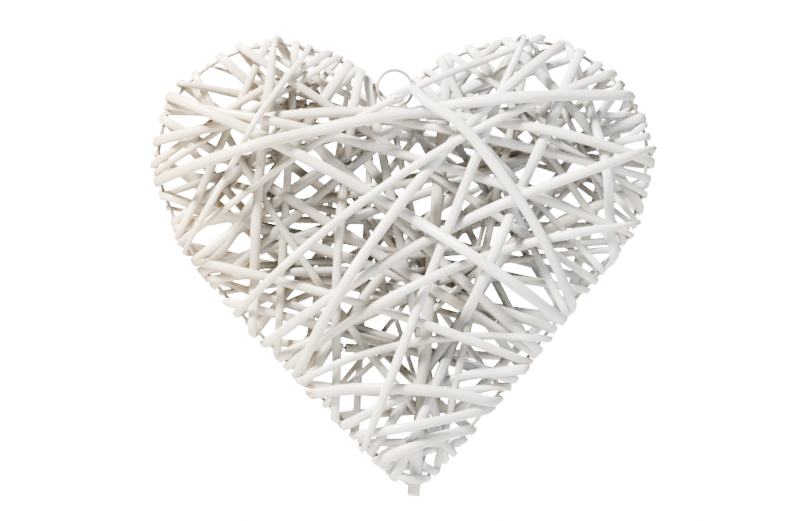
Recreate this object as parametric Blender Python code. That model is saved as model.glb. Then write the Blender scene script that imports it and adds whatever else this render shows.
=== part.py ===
"""Wicker heart: white willow rods wound round a heart of wire, with a wire hanging ring.

The heart hangs upright: X runs across it, Z is up and its front faces -Y.
The origin is the top of the inside of the hanging ring, where a hook bears.
"""
import math

import bpy
import numpy as np

# Driving sizes, in metres
HEART_WIDTH = 0.388
NOTCH_TO_TIP = 0.303
FRAME_WIRE = 0.0030
RING_OUTER = 0.0318
RING_WIRE = 0.0029
RING_TURN = math.radians(17.0)
ROD_THICKNESS = 0.96
GAP = 0.0004

# Make of the wire and the ring: knots round the wire, steps of the curve between two points of
# its outline, and the ring's steps and sides
RIM_KNOTS = 64
CURVE_STEPS = 24
RING_STEPS = 24
RING_SIDES = 6

# Run of a rod: the length between its knots on a pass, how thick it is where it is crushed
# round the wire and at its thin end, how far its end reaches past the wire, the angles of the
# knots round the wire, the stretch of wire in which its last wrap is looked for, in hundredths
# of the way round, and the passes whose end is free, by their number
KNOT_SPACING = 0.048
CRUSHED = 0.52
THIN_END = 0.80
TAIL = 0.0035
WRAP_ANGLES = (30.0, 90.0, 150.0)
TAIL_STATIONS = (34.0, 66.0, 0.25)
FREE_ENDS = {43: 0.006}

# Depth of the body: the middle of the shell of rods from the lowest to the uppermost, and how
# far inside the wire it is at its full swell, with the power of the swell's curve
SHELL = 0.026
DOME_REACH = 0.060
DOME_POWER = 0.6

# Planning of the depths: the depths that a knot may have, in steps, and the levels above its
# lowest that a wrap may have
LEVEL = 0.0015
DEEPEST = -0.006
HIGHEST = 0.050
END_LEVELS = 9

# Costs that are weighed: a millimetre off the wanted depth and a millimetre of bend, both
# squared, a millimetre sunk into another rod, touching one at all, and a millimetre of run on
# the wrong side of one
DEPTH_COST = 0.1
BEND_COST = 0.01
SINK_COST = 1000.0
TOUCH_COST = 5000.0
WRONG_SIDE_COST = 30.0

# Measuring: the step of the samples along a rod, the gap kept in the plan, how near a rod has to
# pass to count, the run beside a wrap in which a rod's own passes don't count, the rest of a
# lift that is let go, how often lifts and plans are worked out again, the most that a wrap is
# lifted, and the reach over which the wire's direction is read, in stations
SAMPLE_STEP = 0.002
PLAN_GAP = 0.0009
NEAR = 0.014
OWN_CLEAR = 0.030
SETTLED = 0.00003
SETTLE_ROUNDS = 14
RAISE_TURNS = 60
LIFT_LIMIT = 0.007
WEAVE_TURNS = 2
DIRECTION_REACH = 0.6

WRAPPED = -1

# The wire's outline from the notch round to the tip and back, in thousandths of the heart's
# width to the right and of its height below the notch
OUTLINE = (
    (0, 0), (49, -60), (115, -115), (172, -141), (233, -154), (294, -157), (348, -144),
    (397, -110), (444, -63), (485, 0), (507, 68), (515, 134), (497, 272), (434, 414),
    (335, 565), (219, 751), (96, 935), (33, 1000), (-74, 874), (-186, 723), (-309, 560),
    (-417, 387), (-475, 225), (-485, 147), (-454, 0), (-360, -110), (-237, -152),
    (-119, -113), (-45, -42),
)

# Every pass of a rod over the front, from the lowest to the uppermost: the stations on the wire
# between which it runs, in hundredths of the way round from the notch, clockwise, its
# thickness and how far it bows upwards, in millimetres
FRONT_PASSES = (
    (51.8, 48.5, 5.6, 8), (52.4, 45.6, 5.6, 0), (67.6, 40.3, 6.4, 0), (69.6, 32.6, 5.2, 11),
    (21.1, 73.7, 5.6, 0), (20.3, 58.2, 4.4, 0), (19.8, 70.4, 6.4, 0), (10.4, 28.4, 4.2, 0),
    (8.8, 25.9, 7.0, 6), (6.3, 29.1, 5.6, 0), (4.9, 27.0, 4.2, 10), (3.0, 25.0, 4.4, 0),
    (4.1, 34.6, 5.6, 0), (2.1, 30.8, 4.8, 0), (85.0, 46.6, 5.2, -12), (81.3, 38.0, 7.0, 0),
    (87.1, 37.7, 7.0, 0), (84.0, 24.0, 6.0, 6), (90.3, 73.2, 5.6, 0), (95.1, 77.7, 4.2, 0),
    (94.4, 78.3, 5.6, 3), (88.6, 31.7, 5.6, 0), (12.9, 29.8, 6.8, 8), (13.7, 51.5, 7.0, 0),
    (97.0, 57.0, 6.4, 8), (55.4, 43.0, 6.4, 0), (56.3, 39.3, 6.8, 8), (91.1, 65.1, 6.8, 6),
    (79.8, 22.9, 6.8, 30), (27.9, 82.3, 6.4, 12), (10.9, 72.5, 4.8, 17), (60.6, 36.9, 5.2, 14),
    (59.2, 42.3, 7.4, 8), (53.0, 44.8, 7.4, 4), (71.1, 38.8, 6.0, 6), (22.2, 63.9, 7.0, 16),
    (54.5, 9.6, 6.4, 0), (61.8, 27.3, 6.0, 22), (82.8, 35.2, 7.4, 12), (93.1, 72.0, 4.4, 3),
    (12.3, 61.0, 7.0, 20), (16.3, 66.7, 5.6, 22), (77.1, 18.2, 7.4, 17), (33.9, 1.6, 7.0, 13),
)


def closed_curve(points, steps):
    """A smooth closed curve through the points: each stretch is the cubic whose direction at
    a point runs from the point before it to the point after it."""
    points = np.array(points, float)
    before = np.roll(points, 1, axis=0)
    after = np.roll(points, -1, axis=0)
    beyond = np.roll(points, -2, axis=0)
    t = (np.arange(steps) / steps)[None, :, None]
    p0, p1, p2, p3 = (p[:, None, :] for p in (before, points, after, beyond))
    curve = 0.5 * (2 * p1 + (p2 - p0) * t + (2 * p0 - 5 * p1 + 4 * p2 - p3) * t ** 2
                   + (3 * p1 - p0 - 3 * p2 + p3) * t ** 3)
    return curve.reshape(-1, points.shape[1])


def ring_centre_height():
    """Height of the ring's centre: the inside of its top is at the origin."""
    return -(RING_OUTER / 2 - RING_WIRE)


def notch_height():
    """The notch of the wire lies on the inside of the ring's lowest point."""
    ring_bottom = ring_centre_height() - (RING_OUTER - RING_WIRE) / 2
    return ring_bottom + (RING_WIRE + FRAME_WIRE) / 2 + GAP


def rim_points():
    """The wire's centre line, in even steps from the notch, in the plane y = 0."""
    shares = np.array(OUTLINE, float) / 1000.0
    outline = np.stack([shares[:, 0] * HEART_WIDTH, -shares[:, 1] * NOTCH_TO_TIP], axis=1)
    fine = closed_curve(outline, CURVE_STEPS)
    fine = np.vstack([fine, fine[:1]])
    length = np.concatenate([[0], np.cumsum(np.linalg.norm(np.diff(fine, axis=0), axis=1))])
    even = np.linspace(0, length[-1], RIM_KNOTS, endpoint=False)
    x = np.interp(even, length, fine[:, 0])
    z = np.interp(even, length, fine[:, 1]) + notch_height()
    return np.stack([x, np.zeros(RIM_KNOTS), z], axis=1)


class Rim:
    """The wire as straight runs between its knots, read by station."""

    def __init__(self):
        self.knots = rim_points()
        self.loop = np.vstack([self.knots, self.knots[:1]])
        steps = np.linalg.norm(np.diff(self.loop, axis=0), axis=1)
        self.along = np.concatenate([[0], np.cumsum(steps)])

    def at(self, station):
        """The point at a station, in hundredths of the way round."""
        s = (station % 100.0) / 100.0 * self.along[-1]
        return np.array([np.interp(s, self.along, self.loop[:, i]) for i in range(3)])

    def outward(self, station):
        """The direction in the heart's plane that leads out of it."""
        run = self.at(station + DIRECTION_REACH) - self.at(station - DIRECTION_REACH)
        return unit(np.array([-run[2], 0.0, run[0]]))


def unit(v):
    """The vector brought to a length of one."""
    return v / np.linalg.norm(v, axis=-1, keepdims=True)


def ring_path(steps):
    """The ring's centre line, turned about the upright so that it links the notch."""
    angle = np.linspace(0, 2 * math.pi, steps, endpoint=False)
    radius = (RING_OUTER - RING_WIRE) / 2
    flat = radius * np.cos(angle)
    return np.stack([flat * math.cos(RING_TURN), flat * math.sin(RING_TURN),
                     radius * np.sin(angle) + ring_centre_height()], axis=1)


def wrap(rim, station, side, turn_out, angles):
    """Knots that carry a rod round the wire: each has its base on the wire's centre line and
    a direction in which it is lifted, from the side it comes from round to the other."""
    ahead = np.array([0.0, side, 0.0])
    angles = np.radians(np.array(angles))[:, None]
    lift = np.cos(angles) * ahead + np.sin(angles) * turn_out
    base = np.repeat(rim.at(station)[None, :], len(angles), axis=0)
    return base, lift


def crossing(rim, side, start, end, bow):
    """Knots of one pass from rim to rim, bowed upwards in the heart's plane."""
    first, last = rim.at(start), rim.at(end)
    run = last - first
    count = max(1, int(round(np.linalg.norm(run) / KNOT_SPACING)))
    t = (np.arange(1, count + 1) / (count + 1))[:, None]
    upward = unit(np.array([-run[2], 0.0, run[0]]))
    upward = upward * (1.0 if upward[2] >= 0 else -1.0)
    base = first + run * t + upward * bow * 4 * t * (1 - t)
    lift = np.repeat(np.array([[0.0, side, 0.0]]), count, axis=0)
    return base, lift


def rod_knots(rim, legs, free_end):
    """All knots of a rod: a hook round the wire, then its passes with a wrap after each. For
    each knot there is its place in the heart's plane, the direction in which it is lifted, the
    rod's radius, and the number of the pass it belongs to, or WRAPPED."""
    bases, lifts, radii, kinds = [], [], [], []

    def add(knots, radius, kind):
        bases.append(knots[0])
        lifts.append(knots[1])
        radii.append(np.full(len(knots[0]), radius))
        kinds.append(np.full(len(knots[0]), kind))

    heading = [unit(rim.at(end) - rim.at(start)) for side, start, end, bow, radius in legs]
    for i, (side, start, end, bow, radius) in enumerate(legs):
        if i == 0:
            out = unit(rim.outward(start) - heading[0])
            add(wrap(rim, start, side, out, WRAP_ANGLES[::-1]), radius * CRUSHED, WRAPPED)
        add(crossing(rim, side, start, end, bow), radius, i)
        if i + 1 < len(legs):
            out = unit(rim.outward(end) + heading[i] - heading[i + 1])
            add(wrap(rim, end, side, out, WRAP_ANGLES), radius * CRUSHED, WRAPPED)
        else:
            base = rim.at(end) + rim.outward(end) * free_end
            add((base[None, :], np.array([[0.0, side, 0.0]])), radius * THIN_END, WRAPPED)
    return np.vstack(bases), np.vstack(lifts), np.concatenate(radii), np.concatenate(kinds)


def dense(points, radii):
    """Samples along a rod, a small step apart, with the run and the share along it."""
    steps = np.linalg.norm(np.diff(points, axis=0), axis=1)
    along = np.concatenate([[0], np.cumsum(steps)])
    s = np.linspace(0, along[-1], int(along[-1] / SAMPLE_STEP) + 2)
    run = np.clip(np.searchsorted(along, s, side="right") - 1, 0, len(steps) - 1)
    share = (s - along[run]) / steps[run]
    spots = points[run] + (points[run + 1] - points[run]) * share[:, None]
    return spots, radii[run] + (radii[run + 1] - radii[run]) * share, run, share, s


def way_out(spots, towards, reach, centres, radii):
    """How far each spot has to move to be clear of every round sample laid before it: the
    length of the line from the spot to where it leaves the last of the spheres."""
    gap = centres[None, :, :] - spots[:, None, :]
    ahead = np.einsum("ijk,ik->ij", gap, towards)
    aside = np.einsum("ijk,ijk->ij", gap, gap) - ahead ** 2
    room = (reach[:, None] + radii[None, :] + GAP) ** 2 - aside
    out = np.where(room > 0, ahead + np.sqrt(np.maximum(room, 0)), -1.0)
    return np.maximum(out.max(axis=1), 0.0)


class Weave:
    """Rods laid one after another between those that are there, then each once more."""

    def __init__(self):
        self.rim = Rim()
        ring = ring_path(RING_STEPS)
        self.pieces = []
        self.rods = []
        self.keep(self.rim.loop, np.full(len(self.rim.loop), FRAME_WIRE / 2))
        self.keep(np.vstack([ring, ring[:1]]), np.full(len(ring) + 1, RING_WIRE / 2))

    def keep(self, points, radii):
        """Remember a finished piece as a row of round samples."""
        self.pieces.append(dense(points, radii)[:2])

    def near(self, base, skip):
        """The samples of the other pieces that lie near a rod's way in the heart's plane, with
        their places in the order of laying."""
        others = [i for i in range(len(self.pieces)) if i != skip]
        centres = np.vstack([self.pieces[i][0] for i in others])
        radii = np.concatenate([self.pieces[i][1] for i in others])
        order = np.concatenate([np.full(len(self.pieces[i][0]), i) for i in others])
        flat = centres[:, [0, 2]]
        best = np.full(len(flat), 1.0)
        for a, b in zip(base[:-1, [0, 2]], base[1:, [0, 2]]):
            run = b - a
            size = max(float(run @ run), 1e-12)
            t = np.clip((flat - a) @ run / size, 0, 1)
            best = np.minimum(best, np.linalg.norm(flat - a - t[:, None] * run, axis=1))
        close = best < NEAR
        return centres[close], radii[close], order[close]

    def lay(self, legs, free_end, rank):
        """Lay a rod: lift its wraps over those that are there, then plan its passes."""
        base, lift, radii, kinds = rod_knots(self.rim, legs, free_end)
        height = np.where(kinds == WRAPPED, FRAME_WIRE / 2 + radii + GAP, radii)
        rod = dict(base=base, lift=lift, radii=radii, kinds=kinds, legs=legs, rank=rank,
                   index=len(self.pieces))
        around = self.near(base, rod["index"])
        height = self.lift_wraps(base, lift, radii, kinds, height, *around[:2])
        rod["lowest"] = height.copy()
        rod["height"] = height
        self.rods.append(rod)
        self.pieces.append((base[:1], radii[:1]))
        self.weave_in(rod)

    def weave_in(self, rod):
        """Plan the depth of each of a rod's passes, first with its own passes left out."""
        base, lift, radii, kinds = (rod[name] for name in ("base", "lift", "radii", "kinds"))
        height = rod["height"].copy()
        centres, reach, order = self.near(base, rod["index"])
        for leg in range(len(rod["legs"])):
            here = np.flatnonzero(kinds == leg)
            chain = np.concatenate([[here[0] - 1], here, [here[-1] + 1]])
            side = rod["legs"][leg][0]
            low = base + lift * np.where(kinds == WRAPPED, rod["lowest"], height)[:, None]
            depths = self.plan(low[chain], radii[chain], side, rod, centres, reach, order)
            swing = np.abs(lift[chain, 1])
            height[chain] = np.abs(depths) / swing * np.sign(depths * side)
            knots = base + lift * height[:, None]
            spots, r, run, share, s = dense(knots[chain], radii[chain])
            far = (s > OWN_CLEAR) & (s < s[-1] - OWN_CLEAR)
            centres = np.vstack([centres, spots[far]])
            reach = np.concatenate([reach, r[far]])
            order = np.concatenate([order, np.full(far.sum(), -1)])
        around = self.near(base, rod["index"])
        height = self.lift_wraps(base, lift, radii, kinds, height, *around[:2])
        rod["height"] = height
        rod["points"] = base + lift * height[:, None]
        self.pieces[rod["index"]] = dense(rod["points"], radii)[:2]

    def lift_wraps(self, base, lift, radii, kinds, height, centres, reach):
        """Lift the knots of the wraps until they clear the wraps that are there."""
        height = height.copy()
        first = height.copy()
        for turn in range(SETTLE_ROUNDS):
            points = base + lift * height[:, None]
            spots, r, run, share, s = dense(points, radii)
            local = (kinds[run] == WRAPPED) & (kinds[run + 1] == WRAPPED)
            if not local.any():
                break
            spots, r, run, share = spots[local], r[local], run[local], share[local]
            towards = unit(lift[run] + (lift[run + 1] - lift[run]) * share[:, None])
            need = way_out(spots, towards, r, centres, reach)
            if need.max() < SETTLED:
                break
            height = np.minimum(raise_knots(height, need, run, share), first + LIFT_LIMIT)
        return height

    def plan(self, knots, radii, side, rod, centres, reach, order):
        """Depths of a pass's knots, chosen by comparing every way through a grid of depths:
        the best stays near its rank's depth, bends little and clears what is there."""
        count = len(knots)
        levels = []
        for k in range(count):
            if k == 0 or k == count - 1:
                steps = abs(knots[k, 1]) + np.arange(END_LEVELS) * LEVEL
            else:
                steps = np.arange(DEEPEST, HIGHEST, LEVEL)
            levels.append(side * steps)
        cost = []
        for k in range(count):
            dome = self.dome(knots[k])
            target = side * SHELL * rod["rank"] * dome
            if k == 0 or k == count - 1:
                target = knots[k, 1]
            cost.append(DEPTH_COST * ((levels[k] - target) * 1000) ** 2)
        lower = order < rod["index"]
        ways = [self.runs(knots[k], knots[k + 1], radii[k], radii[k + 1], levels[k], levels[k + 1],
                          side, centres, reach, lower) for k in range(count - 1)]
        total = cost[0][:, None] + ways[0] + cost[1][None, :]
        back = []
        for k in range(1, count - 1):
            bend = (levels[k - 1][:, None, None] - 2 * levels[k][None, :, None]
                    + levels[k + 1][None, None, :]) * 1000
            step = total[:, :, None] + BEND_COST * bend ** 2
            back.append(step.argmin(axis=0))
            total = step.min(axis=0) + ways[k] + cost[k + 1][None, :]
        i, j = np.unravel_index(total.argmin(), total.shape)
        path = [j, i]
        for choice in reversed(back):
            path.append(choice[path[-1], path[-2]])
        path = path[::-1]
        return np.array([levels[k][path[k]] for k in range(count)])

    def runs(self, start, end, r0, r1, from_levels, to_levels, side, centres, reach, lower):
        """The cost of every straight run between two knots' depths: a high one for each
        millimetre that it sinks into a rod, and a low one for passing under it."""
        a, b = start[[0, 2]], end[[0, 2]]
        run = b - a
        flat = centres[:, [0, 2]] - a
        t = np.clip(flat @ run / (run @ run), 0, 1)
        aside = np.linalg.norm(flat - t[:, None] * run, axis=1)
        room = (r0 + (r1 - r0) * t + reach + PLAN_GAP) ** 2 - aside ** 2
        met = room > 0
        if not met.any():
            return np.zeros((len(from_levels), len(to_levels)))
        t, room, depth, lower = t[met], np.sqrt(room[met]), centres[met, 1], lower[met]
        way = from_levels[:, None, None] * (1 - t) + to_levels[None, :, None] * t
        above = (way - depth) * side
        sunk = np.maximum(room - np.abs(above), 0).max(axis=2) * 1000
        wrong = (above < 0) == lower
        under = (wrong & (depth * side > 0)).sum(axis=2) * SAMPLE_STEP * 1000
        order_cost = WRONG_SIDE_COST if side < 0 else 0.0
        return SINK_COST * sunk + np.where(sunk > 0, TOUCH_COST, 0) + order_cost * under

    def dome(self, knot):
        """How far the body swells at a place: nothing at the wire, all of it well inside."""
        flat = self.rim.knots[:, [0, 2]]
        inside = np.linalg.norm(flat - knot[[0, 2]], axis=1).min()
        return min(1.0, inside / DOME_REACH) ** DOME_POWER


def raise_knots(height, need, run, share):
    """Lift the two knots beside the sample that is lowest, over and over, until all clear."""
    height = height.copy()
    left = need.copy()
    for turn in range(RAISE_TURNS):
        k = left.argmax()
        if left[k] < SETTLED / 2:
            break
        a, b = 1 - share[k], share[k]
        lift_a, lift_b = (left[k] * part / (a * a + b * b) for part in (a, b))
        height[run[k]] += lift_a
        height[run[k] + 1] += lift_b
        left = left - np.where(run == run[k], lift_a * (1 - share) + lift_b * share, 0)
        left = left - np.where(run == run[k] - 1, lift_a * share, 0)
        left = left - np.where(run == run[k] + 1, lift_b * (1 - share), 0)
    return height


def clear_station(taken, start):
    """The place on the far part of the wire that is farthest from every other wrap."""
    choice = (start + np.arange(*TAIL_STATIONS)) % 100.0
    away = np.abs(choice[:, None] - np.array(taken)[None, :])
    away = np.minimum(away, 100.0 - away).min(axis=1)
    return float(choice[away.argmax()])


def woven_rods():
    """Each rod takes two passes over the front, joined by one across the back, and ends in a
    pass across the back, unless its second front pass is one of those with a free end."""
    weave = Weave()
    taken = [station for row in FRONT_PASSES for station in row[:2]]
    for k in range(0, len(FRONT_PASSES), 2):
        (a, b, size, bow), (c, d, size2, bow2) = FRONT_PASSES[k:k + 2]
        free_end = FREE_ENDS.get(k + 1)
        span_c = np.linalg.norm(weave.rim.at(c) - weave.rim.at(b))
        span_d = np.linalg.norm(weave.rim.at(d) - weave.rim.at(b))
        if free_end is None and span_d > span_c:
            c, d = d, c
        r, r2 = size * ROD_THICKNESS / 2000, size2 * ROD_THICKNESS / 2000
        legs = [(-1, a, b, bow / 1000, r), (1, b, c, 0.0, (r + r2) / 2), (-1, c, d, bow2 / 1000, r2)]
        if free_end is None:
            tail = clear_station(taken, d)
            taken.append(tail)
            legs.append((1, d, tail, 0.0, r2 * THIN_END))
        weave.lay(legs, TAIL if free_end is None else free_end, k / len(FRONT_PASSES))
    for turn in range(WEAVE_TURNS):
        for rod in weave.rods:
            weave.weave_in(rod)
    return weave


def clear_scene():
    """Start from an empty scene."""
    for item in list(bpy.data.objects):
        bpy.data.objects.remove(item, do_unlink=True)


def material(name, colour, roughness, metallic):
    """A plain finish with the piece's own colour."""
    made = bpy.data.materials.new(name)
    made.use_nodes = True
    shader = made.node_tree.nodes["Principled BSDF"]
    shader.inputs["Base Color"].default_value = (*colour, 1.0)
    shader.inputs["Roughness"].default_value = roughness
    shader.inputs["Metallic"].default_value = metallic
    return made


def tube(collection, name, points, radii, finish, closed=False):
    """A round rod or wire along its knots, with its own thickness at each, and closed ends."""
    curve = bpy.data.curves.new(name, "CURVE")
    curve.dimensions = "3D"
    curve.bevel_depth = 1.0
    curve.bevel_resolution = 1
    curve.use_fill_caps = not closed
    spline = curve.splines.new("POLY")
    spline.points.add(len(points) - 1)
    spline.points.foreach_set("co", np.hstack([points, np.ones((len(points), 1))]).ravel())
    spline.points.foreach_set("radius", radii)
    spline.use_cyclic_u = closed
    spline.use_smooth = True
    curve.materials.append(finish)
    made = bpy.data.objects.new(name, curve)
    collection.objects.link(made)
    return made


def hanging_ring(collection, finish):
    """The round wire ring that links the notch and hangs the heart."""
    bpy.ops.mesh.primitive_torus_add(
        major_radius=(RING_OUTER - RING_WIRE) / 2, minor_radius=RING_WIRE / 2,
        major_segments=RING_STEPS, minor_segments=RING_SIDES,
        location=(0, 0, ring_centre_height()), rotation=(math.pi / 2, 0, RING_TURN))
    made = bpy.context.object
    made.name = "hanging_ring"
    made.data.name = "hanging_ring"
    made.data.materials.append(finish)
    for other in list(made.users_collection):
        other.objects.unlink(made)
    collection.objects.link(made)
    made.data.shade_smooth()
    return made


def main():
    """Build the wire, the ring and the rods in one collection."""
    clear_scene()
    collection = bpy.data.collections.new("Wicker heart")
    bpy.context.scene.collection.children.link(collection)
    weave = woven_rods()
    wire = material("painted_wire", (0.72, 0.66, 0.58), 0.5, 0.0)
    tube(collection, "frame_wire", weave.rim.knots, np.full(RIM_KNOTS, FRAME_WIRE / 2), wire, True)
    hanging_ring(collection, material("ring_wire", (0.70, 0.66, 0.60), 0.4, 0.3))
    paint = material("white_paint", (0.86, 0.84, 0.80), 0.45, 0.0)
    for number, rod in enumerate(weave.rods, 1):
        tube(collection, "willow_rod_%02d" % number, rod["points"], rod["radii"], paint)


main()
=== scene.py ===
"""The looks of the wicker heart: painted willow rods, the wire they are wound on and the hanging
ring, each laid along the centre line of its node in the frame, and rods low in the weave, which
have no node and run between places on the wire."""
import math

import bpy
import numpy as np
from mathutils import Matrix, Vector


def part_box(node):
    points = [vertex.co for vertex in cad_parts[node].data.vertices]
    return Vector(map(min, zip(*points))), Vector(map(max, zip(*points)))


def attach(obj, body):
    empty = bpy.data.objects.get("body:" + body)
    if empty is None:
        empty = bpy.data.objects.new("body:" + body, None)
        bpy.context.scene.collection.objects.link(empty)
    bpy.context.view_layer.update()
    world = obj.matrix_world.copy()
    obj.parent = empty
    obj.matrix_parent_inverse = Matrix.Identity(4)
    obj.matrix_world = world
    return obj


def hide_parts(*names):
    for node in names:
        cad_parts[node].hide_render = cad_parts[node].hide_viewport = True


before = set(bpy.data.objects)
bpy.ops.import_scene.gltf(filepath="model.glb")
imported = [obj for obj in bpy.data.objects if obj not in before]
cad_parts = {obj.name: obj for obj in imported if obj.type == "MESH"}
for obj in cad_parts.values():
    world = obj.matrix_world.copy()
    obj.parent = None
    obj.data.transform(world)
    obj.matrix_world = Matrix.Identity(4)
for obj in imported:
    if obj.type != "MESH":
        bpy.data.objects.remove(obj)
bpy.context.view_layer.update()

bl_info = {
    "name": "Wicker heart",
    "version": (1, 0, 0),
    "blender": (4, 5, 0),
    "location": "3D View > Sidebar > Wicker heart",
    "description": "Dresses a hanging heart of white willow rods wound round a wire",
    "category": "Add Mesh",
}

BODY = "root"
MM = 0.001
ROD_PREFIX = "willow_rod_"
FORWARD = np.array([0.0, -1.0, 0.0])
# A node's tube: the number of its sides, and the least turn of an edge round its flat end
TUBE_SIDES = 6
CAP_TURN = math.radians(75)
# Folds of a rod round the wire: the longest run between a fold's knots, its largest radius as a
# share of the rod's own, how far outside the wire a knot may stand, and the distance from the
# wire within which the flat side faces it, with the shares of it between which the side turns
FOLD_RUN = 0.014
FOLDED_SHARE = 0.75
FOLD_OUT = 0.0042
FOLD_REACH = 0.011
FOLD_EASE = (0.7, 1.6)
# The ring past a rod's cut end: its size, and how far it stands out, as shares of the end
CAP_SHARE = 0.86
CAP_OUT = 0.10
# Lengths of the waves in which a rod's thickness, width and wear wander along it, in metres
THICKNESS_WAVES = (0.031, 0.067, 0.113, 0.19)
WIDTH_WAVES = (0.05, 0.12, 0.23)
WORN_WAVES = (0.3, 0.47, 0.71)
# What is added to a rod's number to seed its width, its wear and its tone, and to the number of
# a low rod to tell it from the others
WIDTH_SEED = 100
WORN_SEED = 200
TONE_SEED = 300
LOW_SEED = 30
# How far apart the rods' patterns start along the UV map
ROD_APART = 3.7
# Painted shade deep in the weave: the depths from the wire's plane between which it fades to
# none, and the distances from the wire between which it sets in
INNER_DEPTH = 0.004
OUTER_DEPTH = 0.036
INNER_REACH = (0.01, 0.05)
# Worn folds: the values of the wear's waves between which it sets in, and the distances from
# the wire between which it fades
WORN_CHANCE = (0.55, 1.1)
WORN_FOLD = (0.004, 0.011)
# Low rods: the length across the front for each knot, the distance from the wire's centre line
# to a rod's surface, the angles of a hook's knots from the front, and how far before the wire a
# hanging end starts to run straight, in millimetres
LOW_SPACING = 0.04
LOW_CLEAR = 0.0017
HOOK_ANGLES = (150.0, 90.0, 30.0)
HANG_BEFORE = 4.0
# Stations to either side of a place between which the wire's direction is read
STATION_REACH = 0.6
# The wires' surfaces: length between the heart wire's rings, points round each wire, and rings
# round the hanging ring
WIRE_STEP = 0.004
WIRE_SIDES = 12
RING_SIDES = 14
RING_STEPS = 96
BARE_WIRE = (0.16, 0.12, 0.09)
BARE_RING = (0.30, 0.26, 0.22)
RING_METAL = 0.2
# Shares of warm paint: in cloudy patches as a gain and an offset, by a rod's tone, and as
# painted warm light towards the left between two places across, with its most there
WARM_PATCHES = (0.35, 0.05)
ROD_TONE = 0.22
WARM_LIGHT_PLACES = (0.02, -0.16)
WARM_LIGHT_MOST = 0.95
# Shares of painted shade deep in the weave and of pale wood on a cut end
INNER_SHADE = 0.85
CUT_SHOWS = 0.8
# The grain's values between which its warm lines set in, their most, and the ripple's values
# between which worn paint chips off
GRAIN_LINES = (0.56, 0.74)
GRAIN_MOST = 0.30
CHIPS = (0.46, 0.52)
# Roughness as a gain on a pattern and an offset, for the rods and for the wires, and the height
# of the grain beside the ripple's
ROD_ROUGHNESS = (0.25, 0.28)
WIRE_ROUGHNESS = (0.3, 0.25)
GRAIN_HEIGHT = 0.35
# The stage: the floor and its points, the white that the camera sees behind the heart and the
# light that comes from there, and the camera's lens and the width and place of its view
FLOOR_LEVEL = -0.75
FLOOR_REACH = 1.6
FLOOR_STEPS = 96
WORLD_LIGHT = 0.02
WORLD_WHITE = 20.0
LENS = 85.0
VIEW_WIDTH = 0.635
VIEW_SIDE = 0.004
VIEW_HEIGHT = -0.1494
# Each light's name, place, width in metres, power in watts and colour
LIGHTS = (
    ("key", (-0.85, -0.85, 1.1), 0.32, 480.0, (1.0, 0.94, 0.85)),
    ("fill", (1.3, -1.1, 0.1), 0.7, 40.0, (0.80, 0.90, 1.0)),
    ("back", (0.5, 1.5, 0.9), 0.8, 60.0, (1.0, 0.97, 0.93)),
)
# Rods low in the weave, which show only through its gaps: the stations on the wire between
# which each runs, in hundredths of the way round from the notch, clockwise, its thickness and
# its bow upwards in millimetres, its depth in front of the wire, and how far it hangs past the
# wire where its end isn't folded over it, both in millimetres
LOW_RODS = (
    (54.6, 46.0, 5.6, 0, 3, 0), (69.2, 8.0, 6.4, 0, 5, 0), (19.6, 81.9, 4.8, 0, 1, 0),
    (4.6, 50.1, 8.4, 0, 4, 8), (63.0, 92.2, 5.6, 0, 4, 0), (71.2, 12.5, 7.4, 12, 2, 0),
    (62.6, 24.3, 7.0, 0, 1, 0), (17.2, 53.8, 6.4, 0, 4, 0), (15.2, 60.2, 6.4, 16, 3, 0),
    (97.7, 47.3, 6.4, 0, 4, 0), (96.0, 70.2, 7.4, 0, 2, 0), (74.1, 96.6, 6.4, 0, 1, 0),
    (76.1, 36.0, 6.8, 0, 3, 0), (52.0, 49.2, 6.0, -2, 13, 0), (48.0, 10.3, 5.2, 0, 7, 0),
    (60.0, 41.0, 6.0, -6, 5, 5),
)
# Places across and up where the paint is worn to the brown willow, their reach, in metres, and
# the share of it within which it is all worn
WORN_SPOTS = ((0.0873, -0.2513), (0.0627, -0.2895), (-0.0675, -0.2506), (0.043, -0.186))
WORN_REACH = 0.009
WORN_CORE = 0.5
# The free end of the uppermost rod, folded over the rod beside it, with its thin tail in front
# of the hanging ring: its knots and its radii, which stand in for its node's first knot
LAST_ROD = "willow_rod_22"
TAIL_LINE = ((-0.0034, -0.0375, -0.0206), (0.0055, -0.0395, -0.0184), (0.0126, -0.0400, -0.0162),
             (0.0152, -0.0405, -0.0180), (0.0239, -0.0440, -0.0266))
TAIL_RADII = (0.0003, 0.0011, 0.0027, 0.0031, 0.0033)


class HeartSizes(bpy.types.PropertyGroup):
    """Sizes of the rods and wires that the finish works with."""

    rod_step: bpy.props.FloatProperty(
        name="Rod step", description="Length between the rings of a rod's surface",
        default=0.0024, min=0.001, max=0.01, unit="LENGTH")
    rod_sides: bpy.props.IntProperty(
        name="Rod sides", description="Points round a rod", default=16, min=8, max=32)
    crushed: bpy.props.FloatProperty(
        name="Crushed", description="Thickness of a rod where it folds round the wire, as a share",
        default=0.52, min=0.3, max=1.0)
    spread: bpy.props.FloatProperty(
        name="Spread", description="Width of a rod's oval section, as a share of its thickness",
        default=1.22, min=1.0, max=1.5)
    fold_width: bpy.props.FloatProperty(
        name="Fold width", description="Width of a rod where it folds round the wire, as a share",
        default=0.96, min=0.5, max=1.3)
    unevenness: bpy.props.FloatProperty(
        name="Unevenness", description="How much a rod's thickness wanders along it, as a share",
        default=0.035, min=0.0, max=0.2)


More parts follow.
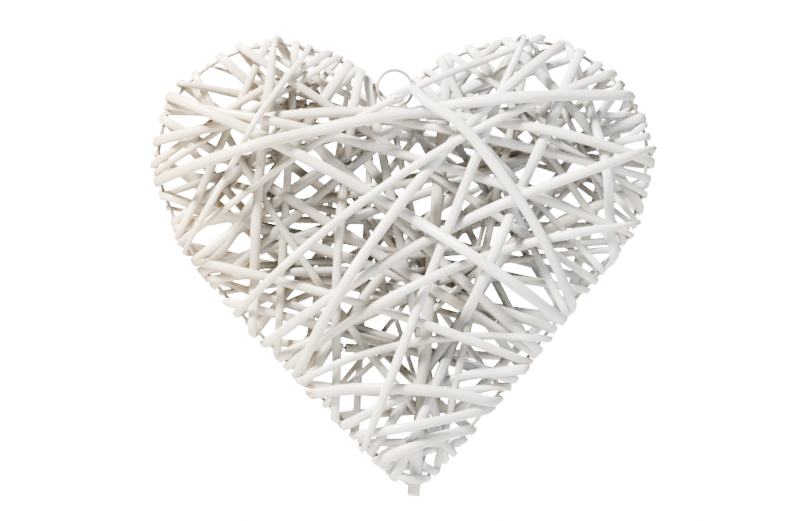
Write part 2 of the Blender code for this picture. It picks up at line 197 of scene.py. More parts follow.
class HeartColours(bpy.types.PropertyGroup):
    """Colours of the paint, the bare willow and the wires."""

    # The paint's slight blue is painted cool light, as falls on the heart's right
    paint: bpy.props.FloatVectorProperty(
        name="Paint", description="White satin paint", subtype="COLOR",
        default=(0.42, 0.431, 0.445), min=0.0, max=1.0)
    # The warm paint, also used for painted warm light towards the left
    warm_paint_and_light: bpy.props.FloatVectorProperty(
        name="Warm paint", description="Paint where the willow tints it", subtype="COLOR",
        default=(0.46, 0.37, 0.245), min=0.0, max=1.0)
    # A near-black colour for painted shade deep in the weave
    painted_shade_colour: bpy.props.FloatVectorProperty(
        name="Painted shade colour", description="Near-black painted shade deep in the weave", subtype="COLOR",
        default=(0.105, 0.101, 0.097), min=0.0, max=1.0)
    bare: bpy.props.FloatVectorProperty(
        name="Bare willow", description="Brown willow where the paint has worn off",
        subtype="COLOR", default=(0.20, 0.13, 0.075), min=0.0, max=1.0)
    cut_end: bpy.props.FloatVectorProperty(
        name="Cut end", description="Pale wood of a rod's cut end", subtype="COLOR",
        default=(0.50, 0.42, 0.31), min=0.0, max=1.0)
    wire: bpy.props.FloatVectorProperty(
        name="Wire paint", description="Painted heart wire", subtype="COLOR",
        default=(0.24, 0.20, 0.155), min=0.0, max=1.0)
    floor: bpy.props.FloatVectorProperty(
        name="Floor", description="Pale studio floor", subtype="COLOR",
        default=(0.90, 0.90, 0.90), min=0.0, max=1.0)


def unit(v):
    """Vectors brought to a length of one."""
    return v / np.maximum(np.linalg.norm(v, axis=-1, keepdims=True), 1e-12)


def welded(node):
    """A node's corners, each once, and its triangles between them."""
    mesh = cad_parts[node].data
    spots = np.zeros(len(mesh.vertices) * 3)
    mesh.vertices.foreach_get("co", spots)
    mesh.calc_loop_triangles()
    faces = np.zeros(len(mesh.loop_triangles) * 3, np.int32)
    mesh.loop_triangles.foreach_get("vertices", faces)
    rounded = np.round(spots.reshape(-1, 3) / (0.01 * MM)).astype(np.int64)
    corners, index = np.unique(rounded, axis=0, return_inverse=True)
    faces = index.ravel()[faces].reshape(-1, 3)
    solid = (faces[:, 0] != faces[:, 1]) & (faces[:, 1] != faces[:, 2]) & (faces[:, 0] != faces[:, 2])
    return corners * (0.01 * MM), faces[solid]


def linked(corners, faces):
    """A table that is true where an edge joins two corners."""
    table = np.zeros((len(corners), len(corners)), bool)
    for a, b in ((0, 1), (1, 2), (2, 0)):
        table[faces[:, a], faces[:, b]] = True
        table[faces[:, b], faces[:, a]] = True
    return table


def end_rings(corners, faces):
    """The corners round each end of a tube: the edges of its flat end turn by a right angle and
    close into a loop of as many corners as the tube has sides."""
    p = corners[faces]
    normal = unit(np.cross(p[:, 1] - p[:, 0], p[:, 2] - p[:, 0]))
    edges = np.sort(np.concatenate([faces[:, [0, 1]], faces[:, [1, 2]], faces[:, [2, 0]]]), axis=1)
    owner = np.tile(np.arange(len(faces)), 3)
    order = np.lexsort((edges[:, 1], edges[:, 0]))
    edges, owner = edges[order], owner[order]
    same = (edges[1:] == edges[:-1]).all(axis=1)
    first, second = owner[:-1][same], owner[1:][same]
    turn = np.einsum("ij,ij->i", normal[first], normal[second])
    sharp = edges[:-1][same][turn < math.cos(CAP_TURN)]
    table = np.eye(len(corners), dtype=bool)
    table[sharp[:, 0], sharp[:, 1]] = True
    table[sharp[:, 1], sharp[:, 0]] = True
    pair = table.sum(axis=1) == 3
    for _ in range(TUBE_SIDES // 2):
        table = (table.astype(np.float32) @ table.astype(np.float32)) > 0
    whole = pair & (table.sum(axis=1) == TUBE_SIDES) & (table[:, pair].sum(axis=1) == TUBE_SIDES)
    loops = np.unique(table[whole], axis=0)
    return loops[[0, -1]]


def peeled(corners, table, ring, seen):
    """The middles and radii of a tube's rings, one after another from one end, for as long as
    each has its full count of corners."""
    knots, radii = [], []
    while ring.sum() == TUBE_SIDES:
        spots = corners[ring]
        middle = spots.mean(axis=0)
        knots.append(middle)
        radii.append(np.linalg.norm(spots - middle, axis=1).mean())
        seen |= ring
        ring = table[ring].any(axis=0) & ~seen
    return knots, radii


def centre_line(node):
    """The knots of a rod in the frame and its thickness there, peeled ring by ring from one end
    of its tube, and from the other end where two rings share a corner on the way."""
    corners, faces = welded(node)
    table = linked(corners, faces)
    seen = np.zeros(len(corners), bool)
    first, last = end_rings(corners, faces)
    knots, radii = peeled(corners, table, first, seen)
    if not seen[last].all():
        more, reach = peeled(corners, table, last, seen)
        knots, radii = knots + more[::-1], radii + reach[::-1]
    return np.array(knots), np.array(radii)


def wire_line():
    """The knots of the closed heart wire, in order round the middle of the heart."""
    corners, faces = welded("frame_wire")
    low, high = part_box("frame_wire")
    middle = (np.array(low) + np.array(high)) / 2
    angle = np.arctan2(corners[:, 0] - middle[0], corners[:, 2] - middle[2])
    spots = corners[np.argsort(angle)].reshape(-1, TUBE_SIDES, 3)
    return spots.mean(axis=1)


def along_wire(wire, station):
    """The spot on the heart wire at a station, in hundredths of the way round from the notch,
    and the direction in the heart's plane that leads out of the heart there."""
    top = np.abs(wire[:, 0]) + np.where(wire[:, 2] > wire[:, 2].mean(), 0.0, 1.0)
    loop = np.roll(wire, -int(top.argmin()), axis=0)
    loop = np.vstack([loop, loop[:1]])
    along = np.concatenate([[0], np.cumsum(np.linalg.norm(np.diff(loop, axis=0), axis=1))])
    place = [np.array([np.interp((station + shift) % 100 / 100 * along[-1], along, loop[:, i])
                       for i in range(3)]) for shift in (0.0, -STATION_REACH, STATION_REACH)]
    run = place[2] - place[1]
    return place[0], unit(np.array([-run[2], 0.0, run[0]]))


def low_line(wire, start, end, radius, bow, depth, hang, crushed):
    """The knots of a rod low in the weave: hooked over the wire, across the front in a bow at
    its own depth, and over the wire again or hanging past it, with the rod's radius at each."""
    first, first_out = along_wire(wire, start)
    last, last_out = along_wire(wire, end)
    run = last - first
    count = max(2, int(round(np.linalg.norm(run) / LOW_SPACING)))
    t = (np.arange(1, count + 1) / (count + 1))[:, None]
    upward = unit(np.array([-run[2], 0.0, run[0]]))
    upward = upward if upward[2] >= 0 else -upward
    swell = np.sqrt(np.sin(np.pi * t))
    front = first + run * t + upward * bow * MM * 4 * t * (1 - t)
    front = front + FORWARD * (radius + depth * MM * swell)
    flat = radius * crushed
    reach = flat + LOW_CLEAR
    heading = unit(run)
    angles = np.radians(np.array(HOOK_ANGLES))[:, None]
    hooks = []
    for spot, out, way in ((first, first_out, -heading), (last, last_out, heading)):
        out = unit(out + way)
        hooks.append(spot + reach * (np.cos(angles) * FORWARD + np.sin(angles) * out))
    ending, thick = hooks[1][::-1], flat
    if hang:
        ending = last + heading * (np.array([[-HANG_BEFORE], [hang]]) * MM)
        ending = ending + FORWARD * (radius + LOW_CLEAR)
        thick = radius
    knots = np.vstack([hooks[0], front, ending])
    ends = [np.full(len(hooks[0]), flat), np.full(len(ending), thick)]
    return knots, np.concatenate([ends[0], np.full(count, radius), ends[1]])


def smooth_line(knots, values, step, closed=False):
    """A smooth curve through the knots, with values carried along it. Each stretch is a cubic
    whose direction at a knot is the mean of the straight runs beside it, the shorter run
    counting more, so that close knots don't throw the curve out between far ones."""
    knots = np.asarray(knots, float)
    values = np.asarray(values, float).reshape(len(knots), -1)
    if closed:
        knots = np.vstack([knots[-1:], knots, knots[:2]])
        values = np.vstack([values[-1:], values, values[:2]])
    run = np.diff(knots, axis=0)
    size = np.linalg.norm(run, axis=1, keepdims=True)
    slope = run / size
    lead = np.empty_like(knots)
    lead[1:-1] = unit(slope[:-1] * size[1:] + slope[1:] * size[:-1])
    lead[0], lead[-1] = slope[0], slope[-1]
    first, last = (1, len(knots) - 2) if closed else (0, len(knots) - 1)
    spots, carried = [], []
    for k in range(first, last):
        count = max(2, int(math.ceil(size[k, 0] / step)))
        t = (np.arange(count) / count)[:, None]
        a, b = lead[k] * size[k], lead[k + 1] * size[k]
        spots.append((2 * t ** 3 - 3 * t ** 2 + 1) * knots[k] + (t ** 3 - 2 * t ** 2 + t) * a
                     + (3 * t ** 2 - 2 * t ** 3) * knots[k + 1] + (t ** 3 - t ** 2) * b)
        ease = t * t * (3 - 2 * t)
        carried.append(values[k] * (1 - ease) + values[k + 1] * ease)
    if not closed:
        spots.append(knots[-1:])
        carried.append(values[-1:])
    return np.vstack(spots), np.vstack(carried)


def to_wire(spots, wire):
    """The distance to the heart wire and the direction away from it, for each spot."""
    start = wire
    run = np.roll(wire, -1, axis=0) - wire
    t = np.einsum("ijk,jk->ij", spots[:, None, :] - start[None], run) / (run ** 2).sum(axis=1)
    near = start[None] + np.clip(t, 0, 1)[:, :, None] * run[None]
    gap = spots[:, None, :] - near
    size = np.linalg.norm(gap, axis=2)
    k = size.argmin(axis=1)
    rows = np.arange(len(spots))
    return size[rows, k], unit(gap[rows, k])


def drawn_in(knots, wire):
    """Knots that stand out of the heart past the wire, drawn back in its plane until they are
    no farther out than a tight fold. A knot is outside where a level line from it to the right
    crosses the wire an even number of times."""
    x, z = knots[:, None, 0], knots[:, None, 2]
    after = np.roll(wire, -1, axis=0)
    x0, z0, x1, z1 = wire[None, :, 0], wire[None, :, 2], after[None, :, 0], after[None, :, 2]
    level = (z0 > z) != (z1 > z)
    cut = x0 + (z - z0) * (x1 - x0) / np.where(level, z1 - z0, 1.0)
    outside = (level & (cut > x)).sum(axis=1) % 2 == 0
    size, away = to_wire(knots * np.array([1.0, 0.0, 1.0]), wire)
    back = np.where(outside, np.maximum(size - FOLD_OUT, 0.0), 0.0)
    return knots - away * back[:, None]


def swept(name, spots, across, up, widths, heights, sides):
    """A closed tube: at each spot an oval, half its width along one direction and half its
    height along the other, joined ring to ring. A smaller ring past each end is closed to its
    middle, so that the edge of the cut is eased. Gives the number of rings too."""
    angle = np.linspace(0, 2 * math.pi, sides, endpoint=False)
    ring = (np.cos(angle)[None, :, None] * (across * widths[:, None])[:, None, :]
            + np.sin(angle)[None, :, None] * (up * heights[:, None])[:, None, :])
    grid = spots[:, None, :] + ring
    ends = [grid[k] * CAP_SHARE + spots[k] * (1 - CAP_SHARE) for k in (0, -1)]
    lead = [unit(spots[0] - spots[1]), unit(spots[-1] - spots[-2])]
    ends = [ends[k] + lead[k] * heights[-k] * CAP_OUT for k in (0, 1)]
    grid = np.concatenate([ends[0][None], grid, ends[1][None]])
    rows = len(grid)
    corners = grid.reshape(-1, 3)
    i = np.arange(rows - 1)[:, None] * sides
    j = np.arange(sides)[None, :]
    k = (j + 1) % sides
    quads = np.stack([i + j, i + k, i + sides + k, i + sides + j], axis=-1).reshape(-1, 4)
    middle = np.array([corners[:sides].mean(axis=0), corners[-sides:].mean(axis=0)])
    total = len(corners)
    j, k = j.ravel(), k.ravel()
    start = np.stack([k, j, np.full(sides, total)], axis=1)
    stop = np.stack([j + total - sides, k + total - sides, np.full(sides, total + 1)], axis=1)
    mesh = bpy.data.meshes.new(name)
    mesh.from_pydata(np.vstack([corners, middle]).tolist(), [],
                     quads.tolist() + start.tolist() + stop.tolist())
    return mesh, rows


def finished(name, mesh, finish, nodes):
    """Link a piece, smooth it, and say what it rides on, stands for and takes its finish from."""
    made = bpy.data.objects.new(name, mesh)
    bpy.context.scene.collection.objects.link(made)
    mesh.materials.append(finish)
    mesh.shade_smooth()
    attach(made, BODY)
    if nodes:
        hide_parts(*nodes)


def set_uv(mesh, rows, sides, along):
    """A UV map: across it is the share of the way round, and up it the length along."""
    layer = mesh.uv_layers.new(name="UVMap")
    j = np.arange(sides) / sides
    across = np.stack([j, j + 1 / sides, j + 1 / sides, j], axis=-1)
    across = np.broadcast_to(across, (rows - 1, sides, 4))
    up = np.stack([along[:-1], along[:-1], along[1:], along[1:]], axis=-1)
    up = np.broadcast_to(up[:, None, :], (rows - 1, sides, 4))
    body = np.stack([across, up], axis=-1).reshape(-1, 2)
    caps = np.zeros((sides * 6, 2))
    caps[:sides * 3, 1], caps[sides * 3:, 1] = along[0], along[-1]
    caps[:, 0] = np.tile(np.repeat(j, 3), 2)
    layer.data.foreach_set("uv", np.vstack([body, caps]).ravel())


def set_value(mesh, name, values):
    """Store one number for each corner of a piece."""
    layer = mesh.attributes.new(name, "FLOAT", "POINT")
    layer.data.foreach_set("value", np.asarray(values, np.float32))


def wander(along, seed, lengths):
    """A number that wanders between about -1 and 1 along a rod: waves of a few lengths added,
    each starting at its own place."""
    start = np.random.default_rng(seed).uniform(0, 2 * math.pi, len(lengths))
    waves = [np.sin(along * 2 * math.pi / size + phase) for size, phase in zip(lengths, start)]
    return np.sum(waves, axis=0) / math.sqrt(len(lengths))


def smooth_step(x, low, high):
    """Nothing below low, one above high, with an even ease between."""
    t = np.clip((x - low) / (high - low), 0, 1)
    return t * t * (3 - 2 * t)


def group_start(name, inputs, outputs):
    """A shader node group with its sockets, and its two end nodes."""
    group = bpy.data.node_groups.new(name, "ShaderNodeTree")
    for label, kind, default in inputs:
        socket = group.interface.new_socket(label, in_out="INPUT", socket_type=kind)
        if default is not None:
            socket.default_value = default
    for label, kind in outputs:
        group.interface.new_socket(label, in_out="OUTPUT", socket_type=kind)
    return group, group.nodes.new("NodeGroupInput"), group.nodes.new("NodeGroupOutput")


def grain_group():
    """Fine lines that run along a rod under its paint: noise that is stretched along the UV
    map, so that it changes fast round the rod and slowly along it."""
    group, source, result = group_start(
        "Rod grain", [("Lines round", "NodeSocketFloat", 9.0), ("Lines along", "NodeSocketFloat", 60.0)],
        [("Grain", "NodeSocketFloat"), ("Ripple", "NodeSocketFloat")])
    nodes, links = group.nodes, group.links
    uv = nodes.new("ShaderNodeUVMap")
    uv.uv_map = "UVMap"
    apart = nodes.new("ShaderNodeSeparateXYZ")
    angle = nodes.new("ShaderNodeMath")
    angle.operation = "MULTIPLY"
    angle.inputs[1].default_value = 2 * math.pi
    cosine, sine = nodes.new("ShaderNodeMath"), nodes.new("ShaderNodeMath")
    cosine.operation, sine.operation = "COSINE", "SINE"
    circle = nodes.new("ShaderNodeCombineXYZ")
    scaled = nodes.new("ShaderNodeVectorMath")
    scaled.operation = "MULTIPLY"
    scale = nodes.new("ShaderNodeCombineXYZ")
    fine, coarse = nodes.new("ShaderNodeTexNoise"), nodes.new("ShaderNodeTexNoise")
    fine.inputs["Scale"].default_value = 1.0
    fine.inputs["Detail"].default_value = 4.0
    fine.inputs["Roughness"].default_value = 0.6
    coarse.inputs["Scale"].default_value = 0.35
    coarse.inputs["Detail"].default_value = 2.0
    links.new(uv.outputs["UV"], apart.inputs[0])
    links.new(apart.outputs["X"], angle.inputs[0])
    links.new(angle.outputs[0], cosine.inputs[0])
    links.new(angle.outputs[0], sine.inputs[0])
    links.new(cosine.outputs[0], circle.inputs["X"])
    links.new(sine.outputs[0], circle.inputs["Y"])
    links.new(apart.outputs["Y"], circle.inputs["Z"])
    links.new(source.outputs["Lines round"], scale.inputs["X"])
    links.new(source.outputs["Lines round"], scale.inputs["Y"])
    links.new(source.outputs["Lines along"], scale.inputs["Z"])
    links.new(circle.outputs[0], scaled.inputs[0])
    links.new(scale.outputs[0], scaled.inputs[1])
    links.new(scaled.outputs[0], fine.inputs["Vector"])
    links.new(scaled.outputs[0], coarse.inputs["Vector"])
    links.new(fine.outputs[0], result.inputs["Grain"])
    links.new(coarse.outputs[0], result.inputs["Ripple"])
    return group


def mottle_group():
    """Uneven thickness of paint: soft cloudy patches in the object's own space, pushed apart
    so that most of the piece is fully painted."""
    group, source, result = group_start(
        "Paint mottle", [("Size", "NodeSocketFloat", 40.0), ("From", "NodeSocketFloat", 0.45),
                         ("To", "NodeSocketFloat", 0.75)],
        [("Mask", "NodeSocketFloat"), ("Speckle", "NodeSocketFloat")])
    nodes, links = group.nodes, group.links
    place = nodes.new("ShaderNodeTexCoord")
    cloud, speck = nodes.new("ShaderNodeTexNoise"), nodes.new("ShaderNodeTexNoise")
    cloud.inputs["Detail"].default_value = 3.0
    speck.inputs["Scale"].default_value = 900.0
    speck.inputs["Detail"].default_value = 2.0
    reach = nodes.new("ShaderNodeMapRange")
    reach.interpolation_type = "SMOOTHSTEP"
    links.new(place.outputs["Object"], cloud.inputs["Vector"])
    links.new(place.outputs["Object"], speck.inputs["Vector"])
    links.new(source.outputs["Size"], cloud.inputs["Scale"])
    links.new(cloud.outputs[0], reach.inputs["Value"])
    links.new(source.outputs["From"], reach.inputs["From Min"])
    links.new(source.outputs["To"], reach.inputs["From Max"])
    links.new(reach.outputs[0], result.inputs["Mask"])
    links.new(speck.outputs[0], result.inputs["Speckle"])
    return group


def shared_group(name, build):
    """A node group by name, built the first time that a material asks for it."""
    return bpy.data.node_groups.get(name) or build()


def blend_colour(nodes, links, amount, first, second):
    """A mix of two colours, each a plain value or a socket, by a socket's amount."""
    mix = nodes.new("ShaderNodeMix")
    mix.data_type = "RGBA"
    links.new(amount, mix.inputs["Factor"])
    for socket, colour in ((mix.inputs[6], first), (mix.inputs[7], second)):
        if isinstance(colour, bpy.types.NodeSocket):
            links.new(colour, socket)
        else:
            socket.default_value = (*colour, 1.0)
    return mix.outputs[2]


def scaled_value(nodes, links, source, gain, offset=0.0):
    """A socket's number times a gain, plus an offset."""
    node = nodes.new("ShaderNodeMath")
    node.operation = "MULTIPLY_ADD"
    links.new(source, node.inputs[0])
    node.inputs[1].default_value = gain
    node.inputs[2].default_value = offset
    return node.outputs[0]


def ranged(nodes, links, source, low, high, most=1.0):
    """A socket's number as a share: none at low, the most at high, and held beyond them."""
    node = nodes.new("ShaderNodeMapRange")
    node.inputs["From Min"].default_value = low
    node.inputs["From Max"].default_value = high
    node.inputs["To Max"].default_value = most
    links.new(source, node.inputs["Value"])
    return node.outputs[0]


def product(nodes, links, first, second):
    """Two sockets' numbers multiplied, kept between nothing and one."""
    node = nodes.new("ShaderNodeMath")
    node.operation = "MULTIPLY"
    node.use_clamp = True
    links.new(first, node.inputs[0])
    links.new(second, node.inputs[1])
    return node.outputs[0]


def attribute(nodes, name):
    """A number stored on the piece's corners."""
    node = nodes.new("ShaderNodeAttribute")
    node.attribute_name = name
    return node.outputs["Fac"]


def willow_paint(colours):
    """White satin paint on willow, tinted slightly cool as painted cool light: painted warm light
    towards the left, warmer in patches, along the grain and from rod to rod, painted shade deep
    in the weave, with brown willow where it has worn off and pale wood on the cut ends."""
    made = bpy.data.materials.new("willow_paint")
    made.use_nodes = True
    nodes, links = made.node_tree.nodes, made.node_tree.links
    shader = nodes["Principled BSDF"]
    grain = nodes.new("ShaderNodeGroup")
    grain.node_tree = shared_group("Rod grain", grain_group)
    mottle = nodes.new("ShaderNodeGroup")
    mottle.node_tree = shared_group("Paint mottle", mottle_group)
    place = nodes.new("ShaderNodeSeparateXYZ")
    links.new(nodes.new("ShaderNodeTexCoord").outputs["Object"], place.inputs[0])
    # Painted warm light: warm paint laid towards the left, where the warm key light falls
    painted_warm_light = ranged(nodes, links, place.outputs["X"], *WARM_LIGHT_PLACES, WARM_LIGHT_MOST)
    warmth = scaled_value(nodes, links, mottle.outputs["Mask"], *WARM_PATCHES)
    # Painted shade: near-black paint laid deep in the weave, where shade falls between the rods
    painted_shade = scaled_value(nodes, links, attribute(nodes, "painted_shade"), INNER_SHADE)
    tone = scaled_value(nodes, links, attribute(nodes, "tone"), ROD_TONE)
    lines = ranged(nodes, links, grain.outputs["Grain"], *GRAIN_LINES, GRAIN_MOST)
    chipped = ranged(nodes, links, grain.outputs["Ripple"], *CHIPS)
    worn = product(nodes, links, chipped, attribute(nodes, "worn"))
    bare_end = scaled_value(nodes, links, attribute(nodes, "cut"), CUT_SHOWS)
    colour = colours.paint
    for share, over in ((painted_warm_light, colours.warm_paint_and_light), (warmth, colours.warm_paint_and_light),
                        (painted_shade, colours.painted_shade_colour), (tone, colours.warm_paint_and_light),
                        (lines, colours.warm_paint_and_light), (worn, colours.bare),
                        (bare_end, colours.cut_end)):
        colour = blend_colour(nodes, links, share, colour, over)
    links.new(colour, shader.inputs["Base Color"])
    rough = scaled_value(nodes, links, grain.outputs["Ripple"], *ROD_ROUGHNESS)
    links.new(rough, shader.inputs["Roughness"])
    shader.inputs["IOR"].default_value = 1.5
    shader.inputs["Specular IOR Level"].default_value = 0.45
    height = nodes.new("ShaderNodeMath")
    height.operation = "MULTIPLY_ADD"
    links.new(grain.outputs["Grain"], height.inputs[0])
    height.inputs[1].default_value = GRAIN_HEIGHT
    links.new(grain.outputs["Ripple"], height.inputs[2])
    bump = nodes.new("ShaderNodeBump")
    bump.inputs["Strength"].default_value = 0.35
    bump.inputs["Distance"].default_value = 0.0004
    links.new(height.outputs[0], bump.inputs["Height"])
    links.new(bump.outputs[0], shader.inputs["Normal"])
    return made


def shared_paint(colours):
    """The rods' white paint, made once."""
    return bpy.data.materials.get("willow_paint") or willow_paint(colours)


def wire_paint(name, colour, bare, metallic):
    """Painted steel wire: cloudy beige-white paint over darker metal at its thin places."""
    made = bpy.data.materials.new(name)
    made.use_nodes = True
    nodes, links = made.node_tree.nodes, made.node_tree.links
    shader = nodes["Principled BSDF"]
    mottle = nodes.new("ShaderNodeGroup")
    mottle.node_tree = shared_group("Paint mottle", mottle_group)
    mottle.inputs["Size"].default_value = 220.0
    mottle.inputs["From"].default_value = 0.50
    mottle.inputs["To"].default_value = 0.68
    mixed = blend_colour(nodes, links, mottle.outputs["Mask"], colour, bare)
    links.new(mixed, shader.inputs["Base Color"])
    rough = scaled_value(nodes, links, mottle.outputs["Speckle"], *WIRE_ROUGHNESS)
    links.new(rough, shader.inputs["Roughness"])
    shader.inputs["Metallic"].default_value = metallic
    bump = nodes.new("ShaderNodeBump")
    bump.inputs["Strength"].default_value = 0.4
    bump.inputs["Distance"].default_value = 0.0002
    links.new(mottle.outputs["Speckle"], bump.inputs["Height"])
    links.new(bump.outputs[0], shader.inputs["Normal"])
    return made


def with_ends(values):
    """Numbers along a rod with the first and the last repeated, for the rings past its ends."""
    return np.concatenate([values[:1], values, values[-1:]])


def rod_shape(number, name, line, wire, sizes):
    """One rod's surface along its knots: its section is oval across the heart, and flat and
    wide where it folds round the wire."""
    knots, radii = line
    run = np.linalg.norm(np.diff(knots, axis=0), axis=1)
    folded = np.minimum(np.append(run, 1.0), np.insert(run, 0, 1.0)) < FOLD_RUN
    folded &= radii < FOLDED_SHARE * radii.max()
    wide = np.where(folded, radii / sizes.crushed * sizes.fold_width, radii)
    spots, carried = smooth_line(knots, np.stack([radii, wide], axis=1), sizes.rod_step)
    along = np.concatenate([[0], np.cumsum(np.linalg.norm(np.diff(spots, axis=0), axis=1))])
    heading = unit(np.gradient(spots, axis=0))
    away, outward = to_wire(spots, wire)
    flat = np.zeros_like(spots)
    flat[:, 1] = np.where(spots[:, 1] >= 0, 1.0, -1.0)
    ease = smooth_step(away, FOLD_REACH * FOLD_EASE[0], FOLD_REACH * FOLD_EASE[1])[:, None]
    up = outward * (1 - ease) + flat * ease
    up = unit(up - heading * np.einsum("ij,ij->i", up, heading)[:, None])
    across = np.cross(up, heading)
    uneven = 1 + sizes.unevenness * wander(along, number, THICKNESS_WAVES)
    oval = 1 + sizes.unevenness * wander(along, number + WIDTH_SEED, WIDTH_WAVES)
    mesh, rows = swept(name, spots, across, up, carried[:, 1] * sizes.spread * uneven * oval,
                       carried[:, 0] * uneven, sizes.rod_sides)
    along, away = with_ends(along), with_ends(away)
    set_uv(mesh, rows, sizes.rod_sides, along + number * ROD_APART)
    # Painted shade: darker deep in the weave, near the wire's plane and away from the folds
    depth = np.abs(with_ends(spots[:, 1]))
    painted_shade = (1 - smooth_step(depth, INNER_DEPTH, OUTER_DEPTH)) * smooth_step(away, *INNER_REACH)
    chance = smooth_step(wander(along, number + WORN_SEED, WORN_WAVES), *WORN_CHANCE)
    worn = (1 - smooth_step(away, *WORN_FOLD)) * chance
    near = np.linalg.norm(spots[:, None, [0, 2]] - np.array(WORN_SPOTS)[None], axis=2).min(axis=1)
    rubbed = 1 - smooth_step(with_ends(near), WORN_REACH * WORN_CORE, WORN_REACH)
    worn = np.maximum(worn, rubbed)
    tone = np.full(rows, np.random.default_rng(number + TONE_SEED).uniform(0.0, 1.0))
    cut = np.zeros(rows)
    cut[[0, -1]] = 1.0
    for label, share in (("painted_shade", painted_shade), ("worn", worn), ("tone", tone), ("cut", cut)):
        ends = [share[0], share[-1]]
        set_value(mesh, label, np.concatenate([np.repeat(share, sizes.rod_sides), ends]))
    return mesh


class HEART_OT_rods(bpy.types.Operator):
    """Wind the painted willow rods, each along the centre line of its node"""

    bl_idname = "heart.rods"
    bl_label = "Willow rods"

    def execute(self, context):
        sizes, colours = context.scene.heart_sizes, context.scene.heart_colours
        wire = wire_line()
        finish = shared_paint(colours)
        for number, node in enumerate(sorted(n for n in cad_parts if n.startswith(ROD_PREFIX))):
            knots, radii = centre_line(node)
            knots = drawn_in(knots, wire)
            if node == LAST_ROD:
                knots = np.vstack([TAIL_LINE, knots[1:]])
                radii = np.concatenate([TAIL_RADII, radii[1:]])
            mesh = rod_shape(number, node, (knots, radii), wire, sizes)
            finished(node + "_painted", mesh, finish, [node])
        return {"FINISHED"}


class HEART_OT_low_rods(bpy.types.Operator):
    """Lay the rods low in the weave, which show through its gaps"""

    bl_idname = "heart.low_rods"
    bl_label = "Low rods"

    def execute(self, context):
        sizes, colours = context.scene.heart_sizes, context.scene.heart_colours
        wire = wire_line()
        finish = shared_paint(colours)
        for number, (start, end, thickness, bow, depth, hang) in enumerate(LOW_RODS):
            line = low_line(wire, start, end, thickness * MM / 2, bow, depth, hang, sizes.crushed)
            name = "low_rod_%02d" % (number + 1)
            mesh = rod_shape(number + LOW_SEED, name, line, wire, sizes)
            finished(name, mesh, finish, [])
        return {"FINISHED"}


class HEART_OT_wire(bpy.types.Operator):
    """Bend the heart wire that the rods are wound on"""

    bl_idname = "heart.wire"
    bl_label = "Heart wire"

    def execute(self, context):
        colours = context.scene.heart_colours
        wire = wire_line()
        low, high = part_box("frame_wire")
        radius = (high[1] - low[1]) / 2
        spots, _ = smooth_line(wire, np.zeros(len(wire)), WIRE_STEP, closed=True)
        mesh = loop_mesh("frame_wire", spots, radius, WIRE_SIDES)
        finish = wire_paint("wire_paint", colours.wire, BARE_WIRE, 0.0)
        finished("frame_wire_painted", mesh, finish, ["frame_wire"])
        return {"FINISHED"}


class HEART_OT_ring(bpy.types.Operator):
    """Bend the round hanging ring"""

    bl_idname = "heart.ring"
    bl_label = "Hanging ring"

    def execute(self, context):
        colours = context.scene.heart_colours
        corners, _ = welded("hanging_ring")
        middle = corners.mean(axis=0)
        flat = corners - middle
        turn = math.atan2((flat[:, 0] * flat[:, 1]).sum(), (flat[:, 0] ** 2).sum())
        side = np.array([math.cos(turn), math.sin(turn), 0.0])
        outer = np.linalg.norm(flat, axis=1).max()
        wire_radius = np.abs(flat @ np.array([-math.sin(turn), math.cos(turn), 0.0])).max()
        angle = np.linspace(0, 2 * math.pi, RING_STEPS, endpoint=False)
        reach = outer - wire_radius
        spots = (middle + np.cos(angle)[:, None] * side * reach
                 + np.sin(angle)[:, None] * np.array([0, 0, 1.0]) * reach)
        mesh = loop_mesh("hanging_ring", spots, wire_radius, RING_SIDES)
        finish = wire_paint("ring_paint", colours.wire, BARE_RING, RING_METAL)
        finished("hanging_ring_painted", mesh, finish, ["hanging_ring"])
        return {"FINISHED"}


def loop_mesh(name, spots, radius, sides):
    """A round wire along a closed line of spots."""
    heading = unit(np.roll(spots, -1, axis=0) - np.roll(spots, 1, axis=0))
    up = np.zeros_like(spots)
    up[:, 1] = -1.0
    up = unit(up - heading * np.einsum("ij,ij->i", up, heading)[:, None])
    across = np.cross(up, heading)
    angle = np.linspace(0, 2 * math.pi, sides, endpoint=False)
    grid = spots[:, None, :] + radius * (np.cos(angle)[None, :, None] * across[:, None, :]
                                         + np.sin(angle)[None, :, None] * up[:, None, :])
    rows = len(spots)
    i = np.arange(rows)[:, None] * sides
    after = (np.arange(rows)[:, None] + 1) % rows * sides
    j = np.arange(sides)[None, :]
    k = (j + 1) % sides
    quads = np.stack([i + j, i + k, after + k, after + j], axis=-1).reshape(-1, 4)
    mesh = bpy.data.meshes.new(name)
    mesh.from_pydata(grid.reshape(-1, 3).tolist(), [], quads.tolist())
    return mesh


def area_light(name, place, aim, size, power, colour):
    """A soft square light that faces a point."""
    data = bpy.data.lights.new(name, "AREA")
    data.size = size
    data.energy = power
    data.color = colour
    made = bpy.data.objects.new(name, data)
    bpy.context.scene.collection.objects.link(made)
    made.location = place
    way = np.array(aim) - np.array(place)
    made.rotation_euler = Vector(way).to_track_quat("-Z", "Y").to_euler()


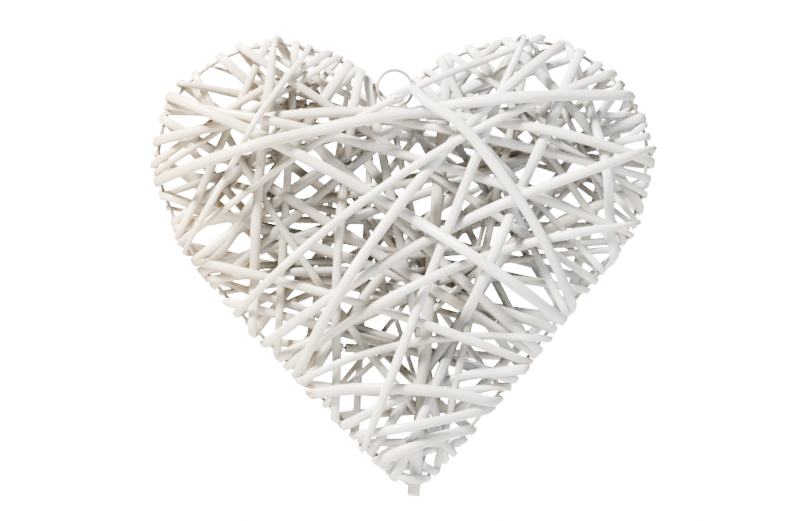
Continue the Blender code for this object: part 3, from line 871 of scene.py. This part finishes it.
class HEART_OT_stage(bpy.types.Operator):
    """Set the pale floor, the soft lights and the camera"""

    bl_idname = "heart.stage"
    bl_label = "Stage"

    def execute(self, context):
        scene = context.scene
        mesh = bpy.data.meshes.new("floor")
        angle = np.linspace(0, 2 * math.pi, FLOOR_STEPS, endpoint=False)
        rim = np.stack([np.cos(angle), np.sin(angle), np.zeros(FLOOR_STEPS)], axis=1) * FLOOR_REACH
        rim[:, 2] = FLOOR_LEVEL
        mesh.from_pydata(rim.tolist(), [], [list(range(FLOOR_STEPS))])
        floor = bpy.data.objects.new("floor", mesh)
        scene.collection.objects.link(floor)
        paint = bpy.data.materials.new("floor_paint")
        paint.use_nodes = True
        shader = paint.node_tree.nodes["Principled BSDF"]
        shader.inputs["Base Color"].default_value = (*scene.heart_colours.floor, 1.0)
        shader.inputs["Roughness"].default_value = 0.9
        mesh.materials.append(paint)
        world = bpy.data.worlds.new("studio")
        world.use_nodes = True
        nodes, links = world.node_tree.nodes, world.node_tree.links
        sky = nodes["Background"]
        path, strength = nodes.new("ShaderNodeLightPath"), nodes.new("ShaderNodeMapRange")
        strength.inputs["To Min"].default_value = WORLD_LIGHT
        strength.inputs["To Max"].default_value = WORLD_WHITE
        links.new(path.outputs["Is Camera Ray"], strength.inputs["Value"])
        links.new(strength.outputs[0], sky.inputs["Strength"])
        sky.inputs["Color"].default_value = (1.0, 1.0, 1.0, 1.0)
        scene.world = world
        middle = (0.0, 0.0, VIEW_HEIGHT)
        for name, place, size, power, colour in LIGHTS:
            area_light(name, place, middle, size, power, colour)
        lens = bpy.data.cameras.new("camera")
        lens.lens = LENS
        camera = bpy.data.objects.new("camera", lens)
        scene.collection.objects.link(camera)
        camera.location = (VIEW_SIDE, -VIEW_WIDTH * LENS / lens.sensor_width, VIEW_HEIGHT)
        camera.rotation_euler = (math.pi / 2, 0.0, 0.0)
        scene.camera = camera
        return {"FINISHED"}


class HEART_PT_panel(bpy.types.Panel):
    """Lists the pieces of the heart"""

    bl_label = "Wicker heart"
    bl_idname = "HEART_PT_panel"
    bl_space_type = "VIEW_3D"
    bl_region_type = "UI"
    bl_category = "Wicker heart"

    def draw(self, context):
        for operator in OPERATORS:
            self.layout.operator(operator.bl_idname)
        for group in (context.scene.heart_sizes, context.scene.heart_colours):
            for name in group.__annotations__:
                self.layout.prop(group, name)


OPERATORS = (HEART_OT_rods, HEART_OT_low_rods, HEART_OT_wire, HEART_OT_ring, HEART_OT_stage)
CLASSES = (HeartSizes, HeartColours, *OPERATORS, HEART_PT_panel)


def register():
    """Make the settings, the operators and the panel known."""
    for kind in CLASSES:
        bpy.utils.register_class(kind)
    bpy.types.Scene.heart_sizes = bpy.props.PointerProperty(type=HeartSizes)
    bpy.types.Scene.heart_colours = bpy.props.PointerProperty(type=HeartColours)


def unregister():
    """Take them away again, the last first."""
    del bpy.types.Scene.heart_colours
    del bpy.types.Scene.heart_sizes
    for kind in reversed(CLASSES):
        bpy.utils.unregister_class(kind)


def main():
    """Register the add-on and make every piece."""
    register()
    bpy.ops.heart.rods()
    bpy.ops.heart.low_rods()
    bpy.ops.heart.wire()
    bpy.ops.heart.ring()
    bpy.ops.heart.stage()


if __name__ == "__main__":
    main()
